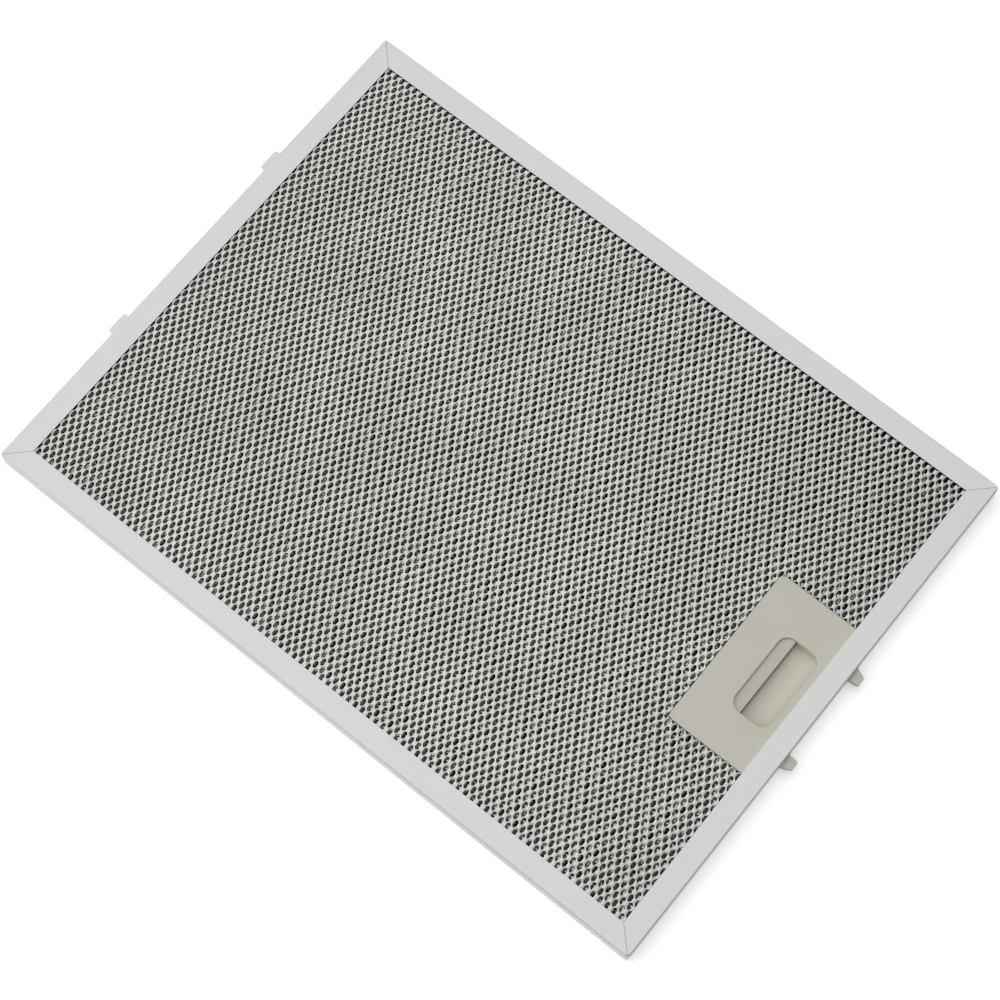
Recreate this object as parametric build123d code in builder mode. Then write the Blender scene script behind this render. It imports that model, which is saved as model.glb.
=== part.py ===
"""Cooker hood mesh filter: a folded aluminium channel frame around a pack of expanded
aluminium sheets, with a sprung two-bolt latch set into one short side.

Millimetres. +Z is the face seen from the kitchen, +X points to the latch, and the origin
is the centre of the frame on its rear face.
"""

from build123d import *
import os

# Frame, folded from one strip
panel_length = 370.0
panel_width = 280.0
panel_depth = 9.0
flange_width = 11.2
sheet = 0.5
fold_bevel = 0.6
fold_bevel_inside = 0.3
corner_radius = 2.2
mitre_gap = 0.15
lap_length = 14.0
lap_margin = 0.4
lap_gap = 0.05

# Fixed tongues lanced out of the side opposite the latch
tongue_length = 11.8
tongue_reach = 3.8
tongue_spacing = 110.4
tongue_level = 4.6
tongue_corner = 1.5
tongue_opening = 2.6

# Pack of expanded sheets
pack_tuck = 8.5
face_mesh_height = 1.3
inner_mesh_height = 1.15
inner_mesh_count = 4
layer_gap = 0.04
face_columns = 23
face_rows = 6
inner_columns = 13
inner_rows = 3
mesh_border = 3.0
strand_share = 0.30

# Latch housing, a cover plate on a tray
cover_length = 86.1
cover_reach = 42.0
cover_tuck = 8.5
cover_thickness = 1.2
cover_corner = 3.0
cover_edge = 0.25
cover_gap = 0.3
flange_gap = 0.1
tray_inset = 0.4
tray_wall = 1.2
tray_floor = 0.8
peg_radius = 1.0
peg_length = 3.0
peg_gap = 0.05
boss_radius = 2.1
boss_inset = 3.6

# Finger window, with the slider's lip at its inner end and a scoop at its outer end
window_length = 42.8
window_width = 20.7
window_corner = 5.6
window_margin = 3.2
lip_width = 6.3
scoop_depth = 5.8
scoop_flat = 6.6
scoop_wall = 1.0
scoop_step = 0.5

# Slider with its two bolts
slide_gap = 0.35
slide_lift = 0.2
lip_overlap = 2.5
lip_edge = 0.4
bolt_spacing = 51.7
bolt_width = 7.0
bolt_tip_width = 4.5
bolt_inside_draft = 0.4
bolt_reach = 5.3
bolt_depth_below_face = 2.5
bolt_thickness = 3.4
bolt_lead = 1.6
bolt_tip_radius = 0.9
bolt_side_gap = 1.5
bolt_face_gap = 0.4
latch_travel = 6.0
stop_width = 6.0

# Return spring, a bowed steel strip
spring_span = 36.0
spring_strip = 0.3
spring_height = 3.6
spring_gap = 0.05

# Places that follow from those sizes
half_length = panel_length / 2
half_width = panel_width / 2
mouth_x = half_length - flange_width
mouth_y = half_width - flange_width
web_inside = half_length - sheet

pack_x = mouth_x + pack_tuck
pack_y = mouth_y + pack_tuck
rear_mesh_z = sheet + layer_gap
inner_mesh_z = rear_mesh_z + face_mesh_height + layer_gap
inner_pitch = inner_mesh_height + layer_gap
front_mesh_z = inner_mesh_z + inner_mesh_count * inner_pitch

cover_top = panel_depth - sheet - flange_gap
cover_under = cover_top - cover_thickness
cover_left = mouth_x - cover_reach
cover_right = mouth_x + cover_tuck
cover_half = cover_length / 2
notch_left = cover_left - cover_gap
notch_half = cover_half + cover_gap
tray_left = cover_left + tray_inset
tray_right = cover_right
tray_half = cover_half - tray_inset
tray_inside = tray_left + tray_wall
tray_floor_top = rear_mesh_z + tray_floor
boss_places = [
    (x, side * (tray_half - boss_inset))
    for x in (tray_left + boss_inset, mouth_x)
    for side in (-1, 1)
]

finger_right = mouth_x - window_margin
finger_left = finger_right - window_width
finger_middle = (finger_left + finger_right) / 2
lip_right = finger_left + lip_width
scoop_left = lip_right + slide_gap
scoop_floor = cover_top - scoop_depth
scoop_half = window_length / 2 + scoop_wall

slider_left = finger_left - lip_overlap
slider_bottom = tray_floor_top + slide_lift
slider_top = cover_under - slide_lift
arm_inside = scoop_half + slide_gap
bolt_inside = (bolt_spacing - bolt_width) / 2
bolt_outside = bolt_inside + bolt_width
bolt_top = panel_depth - bolt_depth_below_face
bolt_bottom = bolt_top - bolt_thickness
bolt_start = finger_right + scoop_wall + slide_gap + latch_travel
bolt_tip = half_length + bolt_reach
spring_level = (slider_bottom + slider_top) / 2


def block(x_limits, y_limits, z_limits, mode=Mode.ADD):
    """A box between two limits on each axis."""
    middle = [(low + high) / 2 for low, high in (x_limits, y_limits, z_limits)]
    size = [high - low for low, high in (x_limits, y_limits, z_limits)]
    with Locations(tuple(middle)):
        Box(*size, mode=mode)


def strip_outline(inset):
    """Plan of the folded strip: bent round three corners, butted at the fourth."""
    box = Rectangle(panel_length - 2 * inset, panel_width - 2 * inset)
    bent = [v for v in box.vertices() if v.X > 0 or v.Y < 0]
    fillet(bent, corner_radius - inset)


def expanded_sheet(label, level, height, columns, rows, shift, field):
    """An expanded sheet with staggered openings: the whole of it round the latch, or one field."""
    pitch_x = 2 * (mouth_x - mesh_border) / columns
    pitch_y = 2 * (mouth_y - mesh_border) / rows
    half_x = pitch_x * (1 - strand_share)
    half_y = pitch_y * (1 - strand_share) / 2
    opening = (
        (half_x, -half_y / 2),
        (half_x, half_y / 2),
        (0, half_y),
        (-half_x, half_y / 2),
        (-half_x, -half_y / 2),
        (0, -half_y),
    )
    places = []
    for column in range(1, columns):
        odd = (column + shift) % 2
        x = (column - columns / 2) * pitch_x
        for row in range(rows - odd):
            y = (row - (rows - odd - 1) / 2) * pitch_y
            near_x = x + half_x + mesh_border > notch_left
            near_y = abs(y) - half_y - mesh_border < notch_half
            if not (near_x and near_y):
                places.append((x, y))
    with BuildPart() as layer:
        with BuildSketch(Plane.XY.offset(level)):
            Rectangle(2 * pack_x, 2 * pack_y)
            with Locations(((notch_left + pack_x) / 2, 0)):
                Rectangle(pack_x - notch_left, 2 * notch_half, mode=Mode.SUBTRACT)
            with Locations(*places):
                Polygon(*opening, align=None, mode=Mode.SUBTRACT)
            (x_low, x_high), (y_low, y_high) = field
            with Locations(((x_low + x_high) / 2, (y_low + y_high) / 2)):
                Rectangle(x_high - x_low, y_high - y_low, mode=Mode.INTERSECT)
        extrude(amount=height)
    layer.part.label = label
    return layer.part


# Space inside the folded channel
with BuildPart() as channel_space:
    with BuildSketch(Plane.XY.offset(sheet)):
        strip_outline(sheet)
    extrude(amount=panel_depth - 2 * sheet)
    chamfer(channel_space.faces().filter_by(Axis.Z).edges(), fold_bevel_inside)

# Frame
with BuildPart() as frame:
    with BuildSketch():
        strip_outline(0)
    extrude(amount=panel_depth)
    chamfer(frame.faces().filter_by(Axis.Z).edges(), fold_bevel)
    add(channel_space.part, mode=Mode.SUBTRACT)
    block((-mouth_x, mouth_x), (-mouth_y, mouth_y), (-1, panel_depth + 1), Mode.SUBTRACT)

    # Mitres: slits in the flanges, and one seam through the butted corner
    bend = corner_radius - (corner_radius - sheet) / 2**0.5
    slit = flange_width - bend - mitre_gap
    for side_x, side_y in ((1, 1), (1, -1), (-1, -1), (-1, 1)):
        seam = side_x < 0 < side_y
        run = flange_width + 1 if seam else slit
        x = side_x * (mouth_x + (run - 1) / 2)
        y = side_y * (mouth_y + (run - 1) / 2)
        with Locations(Location((x, y, panel_depth / 2), (0, 0, 45 * side_x * side_y))):
            Box((run + 1) * 2**0.5, mitre_gap, panel_depth + 2, mode=Mode.SUBTRACT)

    # Tongue of the strip lapped behind the butted corner
    lap_left = -web_inside + lap_gap
    lap_end = half_width - sheet
    lap_low = sheet + fold_bevel_inside + lap_margin
    block(
        (lap_left, lap_left + sheet),
        (lap_end - lap_length, lap_end + sheet / 2),
        (lap_low, panel_depth - lap_low),
    )

    # Lanced tongues and the openings they leave
    for side in (-1, 1):
        middle = side * tongue_spacing / 2
        reach = (middle - tongue_length / 2, middle + tongue_length / 2)
        opening = (tongue_level - tongue_opening, tongue_level)
        block((-half_length - 1, -web_inside + 0.1), reach, opening, Mode.SUBTRACT)
        with BuildSketch(Plane.XY.offset(tongue_level)):
            with Locations((-half_length + (sheet - tongue_reach) / 2, middle)):
                tongue = Rectangle(tongue_reach + sheet, tongue_length)
            tips = tongue.vertices().group_by(Axis.X)[0]
            fillet(tips, tongue_corner)
        extrude(amount=sheet)

    # Slots for the bolts
    for side in (-1, 1):
        middle = side * bolt_spacing / 2
        half_slot = bolt_width / 2 + bolt_side_gap
        block(
            (web_inside - 0.1, half_length + 1),
            (middle - half_slot, middle + half_slot),
            (bolt_bottom - bolt_face_gap, bolt_top + bolt_face_gap),
            Mode.SUBTRACT,
        )

# Space in the finger window, above the scooped floor
with BuildPart() as finger_space:
    with BuildSketch(Plane.XY.offset(scoop_floor)):
        with Locations((finger_middle, 0)):
            RectangleRounded(window_width, window_length, window_corner)
    extrude(amount=scoop_depth + 1)
    with BuildSketch(Plane.XZ):
        with BuildLine():
            rise = (scoop_left + scoop_flat, scoop_floor)
            brow = (finger_right, cover_top - scoop_step)
            Line((finger_left, scoop_floor), rise)
            TangentArc(rise, brow, tangent=(1, 0))
            Polyline(
                brow,
                (finger_right, cover_top + 1),
                (finger_left, cover_top + 1),
                (finger_left, scoop_floor),
            )
        make_face()
    extrude(amount=window_length, both=True, mode=Mode.INTERSECT)

# Latch cover
with BuildPart() as latch_cover:
    with BuildSketch(Plane.XY.offset(cover_under)):
        with Locations(((cover_left + cover_right) / 2, 0)):
            plate = Rectangle(cover_right - cover_left, cover_length)
        fillet(plate.vertices().group_by(Axis.X)[0], cover_corner)
    extrude(amount=cover_thickness)
    block(
        (scoop_left, finger_right + scoop_wall),
        (-scoop_half, scoop_half),
        (scoop_floor - scoop_wall, cover_under),
    )
    add(finger_space.part, mode=Mode.SUBTRACT)
    face = latch_cover.faces().sort_by(Axis.Z)[-1]
    chamfer(face.edges(), cover_edge)
    with BuildSketch(Plane.XY.offset(cover_under)):
        with Locations(*boss_places):
            Circle(peg_radius)
    extrude(amount=-peg_length)

# Latch tray
with BuildPart() as latch_tray:
    block((tray_left, tray_right), (-tray_half, tray_half), (rear_mesh_z, cover_under))
    block(
        (tray_inside, tray_right + 1),
        (tray_wall - tray_half, tray_half - tray_wall),
        (tray_floor_top, cover_under + 1),
        Mode.SUBTRACT,
    )
    with BuildSketch(Plane.XY.offset(tray_floor_top)):
        with Locations(*boss_places):
            Circle(boss_radius)
    extrude(amount=cover_under - tray_floor_top)
    with BuildSketch(Plane.XY.offset(cover_under)):
        with Locations(*boss_places):
            Circle(peg_radius + peg_gap)
    extrude(amount=-peg_length - peg_gap, mode=Mode.SUBTRACT)

    # Guide rails beside the arms, and the stops that end the travel
    for side in (-1, 1):
        near = side * (bolt_outside + slide_gap)
        far = near + side * tray_wall
        block(
            (slider_left - latch_travel, tray_right),
            (min(near, far), max(near, far)),
            (tray_floor_top, bolt_top),
        )
        stop = side * (bolt_outside - stop_width)
        stop_end = slider_left - latch_travel
        block(
            (tray_inside, stop_end),
            (min(stop, far), max(stop, far)),
            (tray_floor_top, bolt_top),
        )

# Latch slide
with BuildPart() as latch_slide:
    block((slider_left, lip_right), (-bolt_outside, bolt_outside), (slider_bottom, slider_top))
    grip = latch_slide.edges().filter_by(Axis.Y).group_by(Axis.Z)[-1].sort_by(Axis.X)[-1]
    fillet(grip, lip_edge)
    for side in (-1, 1):
        near = side * arm_inside
        far = side * bolt_outside
        limits = (min(near, far), max(near, far))
        block((lip_right - 1, bolt_start), limits, (slider_bottom, bolt_top))
        tip_inside = bolt_inside + bolt_inside_draft
        with BuildSketch(Plane.XY.offset(bolt_bottom)):
            with BuildLine():
                Polyline(
                    (bolt_start - bolt_width, side * arm_inside),
                    (bolt_start, side * arm_inside),
                    (bolt_start, side * bolt_inside),
                    (half_length, side * bolt_inside),
                    (bolt_tip, side * tip_inside),
                    (bolt_tip, side * (tip_inside + bolt_tip_width)),
                    (half_length, side * bolt_outside),
                    (bolt_start - bolt_width, side * bolt_outside),
                    close=True,
                )
            bolt = make_face()
            fillet(bolt.vertices().group_by(Axis.X)[-1], bolt_tip_radius)
        extrude(amount=bolt_thickness)

    # Lead-in on the rear of each bolt
    with BuildSketch(Plane.XZ):
        with BuildLine():
            Polyline(
                (bolt_tip - bolt_lead * 1.5, bolt_bottom),
                (bolt_tip + 1, bolt_bottom + bolt_lead),
                (bolt_tip + 1, bolt_bottom - 1),
                (bolt_tip - bolt_lead * 1.5, bolt_bottom - 1),
                close=True,
            )
        make_face()
    extrude(amount=panel_width / 2, both=True, mode=Mode.SUBTRACT)

# Return spring
with BuildPart() as latch_spring:
    foot = tray_inside + spring_gap
    crown = slider_left - spring_gap
    half_span = spring_span / 2
    with BuildSketch(Plane.XY.offset(spring_level - spring_height / 2)):
        with BuildLine():
            ThreePointArc((foot, -half_span), (crown, 0), (foot, half_span))
            inner_half = half_span - spring_strip
            ThreePointArc((foot, -inner_half), (crown - spring_strip, 0), (foot, inner_half))
            Line((foot, -half_span), (foot, -inner_half))
            Line((foot, half_span), (foot, inner_half))
        make_face()
    extrude(amount=spring_height)

# Pack, from the rear face to the front; the front sheet is three nodes, so each is convex
whole = ((-pack_x, pack_x), (-pack_y, pack_y))
face_grid = (face_columns, face_rows, 0)
sheets = [expanded_sheet("rear_mesh", rear_mesh_z, face_mesh_height, *face_grid, whole)]
for number in range(inner_mesh_count):
    name = f"inner_mesh_{number + 1}"
    level = inner_mesh_z + number * inner_pitch
    grid = (inner_columns, inner_rows, number % 2)
    sheets.append(expanded_sheet(name, level, inner_mesh_height, *grid, whole))
for name, field in (
    ("front_mesh", ((-pack_x, notch_left), (-pack_y, pack_y))),
    ("front_mesh_side_1", ((notch_left, pack_x), (-pack_y, -notch_half))),
    ("front_mesh_side_2", ((notch_left, pack_x), (notch_half, pack_y))),
):
    sheets.append(expanded_sheet(name, front_mesh_z, face_mesh_height, *face_grid, field))

frame.part.label = "frame"
latch_cover.part.label = "latch_cover"
latch_tray.part.label = "latch_tray"
latch_slide.part.label = "latch_slide"
latch_spring.part.label = "latch_spring"

os.makedirs("parts", exist_ok=True)
export_step(frame.part, "parts/frame.step")
export_step(latch_cover.part, "parts/latch_cover.step")
export_step(latch_tray.part, "parts/latch_tray.step")
export_step(latch_slide.part, "parts/latch_slide.step")
export_step(latch_spring.part, "parts/latch_spring.step")
for layer in sheets:
    export_step(layer, f"parts/{layer.label}.step")
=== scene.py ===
"""Studio picture of the cooker hood mesh filter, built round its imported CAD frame.

The fine expanded mesh is modelled here. The folded frame and the latch mouldings are the CAD
nodes with rounded edges. Named lengths are millimetres, and the studio is in metres.
"""

import math

import bmesh
import bpy
from mathutils import Matrix, Vector


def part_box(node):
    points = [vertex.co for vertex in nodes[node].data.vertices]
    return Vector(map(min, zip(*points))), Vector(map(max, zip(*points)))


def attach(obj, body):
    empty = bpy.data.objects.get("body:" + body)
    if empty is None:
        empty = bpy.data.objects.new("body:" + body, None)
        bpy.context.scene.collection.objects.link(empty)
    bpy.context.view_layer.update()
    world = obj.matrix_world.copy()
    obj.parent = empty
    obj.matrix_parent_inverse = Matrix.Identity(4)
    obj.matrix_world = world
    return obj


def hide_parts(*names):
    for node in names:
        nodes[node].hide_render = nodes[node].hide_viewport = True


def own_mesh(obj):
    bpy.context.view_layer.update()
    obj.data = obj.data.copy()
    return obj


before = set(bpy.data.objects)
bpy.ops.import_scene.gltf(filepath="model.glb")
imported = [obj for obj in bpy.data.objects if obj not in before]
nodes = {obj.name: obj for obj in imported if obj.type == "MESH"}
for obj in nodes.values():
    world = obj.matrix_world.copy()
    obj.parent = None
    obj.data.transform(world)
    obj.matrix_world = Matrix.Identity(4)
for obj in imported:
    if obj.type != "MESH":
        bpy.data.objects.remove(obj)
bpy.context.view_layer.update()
scene = bpy.context.scene
MM = 0.001

notch_clearance = 0.3
weld_distance = 0.01

# Section of a mesh strand, as places (x, z) from its bond, and the pitch of the bonds
face_recipe = {
    "short": 3.996,
    "long": 6.067,
    "reach": 2.0,
    "crest": (-1.3, 0.36),
    "ridge": (-0.35, 0.47),
    "brow": (0.6, 0.30),
    "foot": (1.4, -0.46),
    "gauge": 0.32,
}
inner_recipe = {
    "short": 7.2,
    "long": 11.2,
    "reach": 3.6,
    "crest": (-1.8, 0.35),
    "ridge": (-0.6, 0.4),
    "brow": (0.6, 0.3),
    "foot": (2.0, -0.4),
    "gauge": 0.3,
}

# Name, place, width, power and the point it faces
softboxes = (
    ("overhead softbox", (-0.3, 0.35, 1.5), 1.9, 9.0, (-0.3, 0.35, 0)),
    ("near softbox", (-0.9, -1.1, 0.9), 0.9, 5.0, (0, 0, 0)),
)
bright_side = (-0.85, -0.25, 1.0)
floor_half = 6
floor_glow = 0.35


class Value:
    """A shader socket that adds and multiplies like a number."""

    def __init__(self, net, socket):
        self.net = net
        self.socket = socket

    def __add__(self, other):
        return self.net.maths("ADD", self, other)

    def __mul__(self, other):
        return self.net.maths("MULTIPLY", self, other)


class Net:
    """The node tree of a material or of the world."""

    def __init__(self, owner):
        self.owner = owner
        owner.use_nodes = True
        self.tree = owner.node_tree
        self.tree.nodes.clear()

    def node(self, kind, inputs=None, out=0, **settings):
        """Adds a node, sets or links its inputs, and returns one of its outputs."""
        made = self.tree.nodes.new("ShaderNode" + kind)
        for key, value in settings.items():
            setattr(made, key, value)
        for key, value in (inputs or {}).items():
            if isinstance(value, Value):
                self.tree.links.new(value.socket, made.inputs[key])
            else:
                made.inputs[key].default_value = value
        return Value(self, made.outputs[out]) if made.outputs else None

    def maths(self, operation, first, second):
        return self.node("Math", {0: first, 1: second}, operation=operation)

    def noise(self, scale, detail=3.0, stretch=(1, 1, 1)):
        """Noise on Object coordinates, stretched by a scale on each axis."""
        spot = self.node("TexCoord", out="Object")
        place = self.node("Mapping", {"Vector": spot, "Scale": stretch})
        inputs = {"Vector": place, "Scale": scale, "Detail": detail}
        return self.node("TexNoise", inputs, out="Fac")

    def spread(self, value, start, stop, low, high):
        """A value from start to stop, spread over low to high."""
        inputs = {"Value": value, "From Min": start, "From Max": stop, "To Min": low, "To Max": high}
        return self.node("MapRange", inputs)

    def between(self, noise, low, high):
        """Noise, which is mostly from 0.3 to 0.7, spread over low to high."""
        return self.spread(noise, 0.3, 0.7, low, high)

    def blend(self, factor, first, second):
        """A colour between two. The Mix node's colour sockets are 6 and 7, and 2 is its result."""
        inputs = {0: factor, 6: (*first, 1), 7: (*second, 1)}
        return self.node("Mix", inputs, out=2, data_type="RGBA")

    def bump(self, height, strength, distance):
        inputs = {"Height": height, "Strength": strength, "Distance": distance}
        return self.node("Bump", inputs)

    def surface(self, **inputs):
        """Ends a material's tree in a Principled shader."""
        named = {key.replace("_", " "): value for key, value in inputs.items()}
        shader = self.node("BsdfPrincipled", named)
        self.node("OutputMaterial", {"Surface": shader})
        return self.owner


def new_net(name):
    return Net(bpy.data.materials.new(name))


def rolled_aluminium():
    """Satin sheet with faint rolling lines and cloudy variation."""
    net = new_net("rolled aluminium")
    cloud = net.noise(14.0, 4.0)
    lines = net.noise(90.0, 2.0, (1, 1, 10))
    grain = net.noise(1200.0, 2.0)
    tone = net.between(cloud * 0.8 + lines * 0.2, 0.0, 1.0)
    return net.surface(
        Base_Color=net.blend(tone, (0.60, 0.60, 0.592), (0.65, 0.65, 0.642)),
        Metallic=0.7,
        Roughness=net.between(cloud, 0.46, 0.52),
        Normal=net.bump(grain, 0.10, 0.00002),
    )


def mesh_aluminium(name, low, high):
    """Expanded sheet, duller in patches."""
    net = new_net(name)
    cloud = net.noise(25.0, 4.0)
    grain = net.noise(1400.0, 2.0)
    return net.surface(
        Base_Color=net.blend(net.between(cloud, 0.0, 1.0), low, high),
        Metallic=1.0,
        Roughness=net.between(grain, 0.22, 0.34),
        Normal=net.bump(grain, 0.2, 0.00003),
    )


def moulded_plastic(name, low, high):
    """Matt moulding with a fine spark-eroded grain."""
    net = new_net(name)
    cloud = net.noise(30.0, 3.0)
    grain = net.noise(1600.0, 2.0)
    return net.surface(
        Base_Color=net.blend(net.between(cloud, 0.0, 1.0), low, high),
        Roughness=net.between(grain, 0.48, 0.60),
        Normal=net.bump(grain, 0.25, 0.00004),
    )


def spring_steel():
    """Bright strip with drawn lines."""
    net = new_net("spring steel")
    lines = net.noise(200.0, 2.0, (1, 1, 20))
    tone = net.between(lines, 0.0, 1.0)
    return net.surface(
        Base_Color=net.blend(tone, (0.42, 0.42, 0.43), (0.56, 0.56, 0.57)),
        Metallic=1.0,
        Roughness=net.between(lines, 0.22, 0.35),
    )


def floor_white():
    """Pale studio floor, whitened only for the rays that see it, so it adds no light."""
    net = new_net("studio floor")
    dust = net.between(net.noise(3.0, 2.0), 0.0, 1.0)
    kinds = ("Camera", "Glossy", "Transmission")
    camera_ray, glossy_ray, clear_ray = (net.node("LightPath", out=f"Is {kind} Ray") for kind in kinds)
    seen = camera_ray + glossy_ray + clear_ray
    return net.surface(
        Base_Color=net.blend(dust, (0.93, 0.93, 0.93), (0.96, 0.96, 0.96)),
        Roughness=0.9,
        Emission_Color=net.blend(seen, (0, 0, 0), (1, 1, 1)),
        Emission_Strength=floor_glow,
    )


def finish_mesh(bm, name, material):
    """Turns a bmesh into an object of one material."""
    data = bpy.data.meshes.new(name)
    bm.to_mesh(data)
    bm.free()
    data.materials.append(material)
    piece = bpy.data.objects.new(name, data)
    scene.collection.objects.link(piece)
    return piece


def paint(node, material):
    node.data.materials.clear()
    node.data.materials.append(material)


def soften(piece, width, segments):
    """Rounds the sharp edges of a CAD node."""
    bevel = piece.modifiers.new("edge round", "BEVEL")
    bevel.width = width * MM
    bevel.segments = segments
    bevel.limit_method = "ANGLE"
    bevel.angle_limit = math.radians(35)
    bevel.harden_normals = True
    for polygon in piece.data.polygons:
        polygon.use_smooth = True


def mesh_cell(bm, recipe, corner):
    """Two bonds and the four strands between them, at a corner of the sheet."""
    short, long, reach = recipe["short"], recipe["long"], recipe["reach"] / 2
    crest, ridge, brow, foot = (recipe[key] for key in ("crest", "ridge", "brow", "foot"))

    def face(*places):
        bm.faces.new([bm.verts.new(corner + Vector(place)) for place in places])

    for cx, cy in ((0, 0), (short / 2, long / 2)):
        for (x_a, z_a), (x_b, z_b) in ((crest, ridge), (ridge, brow), (brow, foot)):
            face(
                (cx + x_a, cy - reach, z_a),
                (cx + x_b, cy - reach, z_b),
                (cx + x_b, cy + reach, z_b),
                (cx + x_a, cy + reach, z_a),
            )
    for side in (-1, 1):
        near = side * reach
        far = side * (long / 2 - reach)
        for (begin, end), (land, leave), step in (
            ((ridge, brow), (crest, ridge), short / 2),
            ((crest, ridge), (ridge, brow), -short / 2),
        ):
            strand = [
                (begin[0], near, begin[1]),
                (end[0], near, end[1]),
                (step + leave[0], far, leave[1]),
                (step + land[0], far, land[1]),
            ]
            face(*(strand if side > 0 else strand[::-1]))


def cut(bm, point, normal, trim):
    """Cuts every face by a plane, and drops what lies beyond it if asked."""
    bmesh.ops.bisect_plane(
        bm, geom=bm.verts[:] + bm.edges[:] + bm.faces[:], dist=0.0005,
        plane_co=point, plane_no=normal, clear_outer=trim, clear_inner=False,
    )


def cut_notch(bm):
    """Opens the space that the latch cover fills."""
    low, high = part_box("latch_cover")
    end = low[0] / MM - notch_clearance
    half = high[1] / MM + notch_clearance
    cut(bm, (end, 0, 0), (1, 0, 0), False)
    cut(bm, (0, half, 0), (0, 1, 0), False)
    cut(bm, (0, -half, 0), (0, 1, 0), False)
    middles = [(f, f.calc_center_median()) for f in bm.faces]
    gone = [f for f, spot in middles if spot.x > end and abs(spot.y) < half]
    bmesh.ops.delete(bm, geom=gone, context="FACES")


def expanded_sheet(name, node, recipe, material, part):
    """One half of an expanded sheet: a cell repeated, trimmed and thickened."""
    low, high = (Vector(corner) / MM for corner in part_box("rear_mesh"))
    middle = (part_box(node)[0][2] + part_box(node)[1][2]) / 2 / MM
    short, long = recipe["short"], recipe["long"]
    columns = math.ceil((high.x + short) / short)
    rows = math.ceil(2 * high.y / long) + 1
    first_x = 0.0 if part > 0 else -columns * short
    bm = bmesh.new()
    mesh_cell(bm, recipe, Vector((first_x, -rows * long / 2, middle)))
    for steps, shift in ((rows, (0, long, 0)), (columns, (short, 0, 0))):
        bmesh.ops.spin(
            bm, geom=bm.verts[:] + bm.edges[:] + bm.faces[:],
            cent=(0, 0, 0), axis=(0, 0, 1), dvec=shift, angle=0, steps=steps, use_duplicate=True,
        )
    bmesh.ops.remove_doubles(bm, verts=bm.verts[:], dist=weld_distance)
    near, far = (0, high.x) if part > 0 else (low.x, 0)
    cut(bm, (near, 0, 0), (-1, 0, 0), True)
    cut(bm, (far, 0, 0), (1, 0, 0), True)
    cut(bm, (0, low.y, 0), (0, -1, 0), True)
    cut(bm, (0, high.y, 0), (0, 1, 0), True)
    if part > 0:
        cut_notch(bm)
    bmesh.ops.scale(bm, vec=(MM, MM, MM), verts=bm.verts[:])
    bmesh.ops.recalc_face_normals(bm, faces=bm.faces[:])
    piece = finish_mesh(bm, name, material)
    skin = piece.modifiers.new("sheet thickness", "SOLIDIFY")
    skin.thickness = recipe["gauge"] * MM
    skin.offset = 0
    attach(piece, "cassette")
    return piece


def mesh_pack():
    """Front, rear and inner sheets, each in two halves that meet in the middle."""
    bright = mesh_aluminium("bright mesh", (0.44, 0.432, 0.413), (0.51, 0.50, 0.48))
    # The inner sheets are aluminium like the front and rear sheets; their near-black colour is painted
    # shade for the dark depth behind the front sheet.
    painted_shade_mesh = mesh_aluminium("inner mesh painted shade", (0.025, 0.025, 0.024), (0.045, 0.045, 0.043))
    for part, end in ((-1, "tongue_half"), (1, "latch_half")):
        front = expanded_sheet(f"front_mesh_{end}", "front_mesh", face_recipe, bright, part)
        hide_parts("front_mesh", "front_mesh_side_1", "front_mesh_side_2")
        rear = expanded_sheet(f"rear_mesh_{end}", "rear_mesh", face_recipe, bright, part)
        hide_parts("rear_mesh")
        for number in (1, 2, 3, 4):
            node = f"inner_mesh_{number}"
            inner = expanded_sheet(f"{node}_{end}", node, inner_recipe, painted_shade_mesh, part)
            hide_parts(node)


def flatten_spring(spring):
    """Gives the spring strip a mesh of its own."""
    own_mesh(spring)


def frame_and_latch():
    """Paints and rounds the CAD nodes that are shown."""
    cover = moulded_plastic("latch cover plastic", (0.555, 0.535, 0.461), (0.585, 0.565, 0.485))
    slide = moulded_plastic("latch slide plastic", (0.51, 0.495, 0.42), (0.54, 0.525, 0.445))
    for node, material, width, segments in (
        ("frame", rolled_aluminium(), 0.22, 2),
        ("latch_cover", cover, 0.12, 2),
        ("latch_tray", cover, 0.12, 2),
        ("latch_slide", slide, 0.25, 3),
    ):
        paint(nodes[node], material)
        soften(nodes[node], width, segments)
    paint(nodes["latch_spring"], spring_steel())
    flatten_spring(nodes["latch_spring"])


def studio():
    """White floor, a sky that is bright overhead and to the near left, and two softboxes."""
    scene.world = bpy.data.worlds.new("studio")
    net = Net(scene.world)
    direction = net.node("TexCoord", out="Generated")
    inputs = {0: direction, 1: bright_side}
    lean = net.node("VectorMath", inputs, out="Value", operation="DOT_PRODUCT")
    strength = net.spread(lean, -0.1, 0.8, 0.10, 0.70)
    sky = net.node("Background", {"Color": (1, 1, 1, 1), "Strength": strength})
    net.node("OutputWorld", {"Surface": sky})
    for name, place, width, power, aim in softboxes:
        lamp = bpy.data.lights.new(name, "AREA")
        lamp.size = width
        lamp.energy = power
        holder = bpy.data.objects.new(name, lamp)
        holder.location = place
        holder.rotation_euler = (Vector(aim) - Vector(place)).to_track_quat("-Z", "Y").to_euler()
        scene.collection.objects.link(holder)
    bm = bmesh.new()
    bmesh.ops.create_grid(bm, x_segments=1, y_segments=1, size=floor_half)
    finish_mesh(bm, "floor", floor_white())
    scene.view_settings.view_transform = "Standard"


def camera():
    """The photograph's view, found from the four corners of the frame."""
    lens = bpy.data.cameras.new("camera")
    lens.sensor_width = 36
    lens.lens = 92.07
    lens.clip_end = 50
    eye = bpy.data.objects.new("camera", lens)
    eye.matrix_world = Matrix((
        (0.77802, -0.59658, 0.19691, 0.24173),
        (0.62817, 0.73415, -0.25774, -0.31531),
        (0.00920, 0.32422, 0.94594, 1.12577),
        (0, 0, 0, 1),
    ))
    scene.collection.objects.link(eye)
    scene.camera = eye


mesh_pack()
frame_and_latch()
studio()
camera()
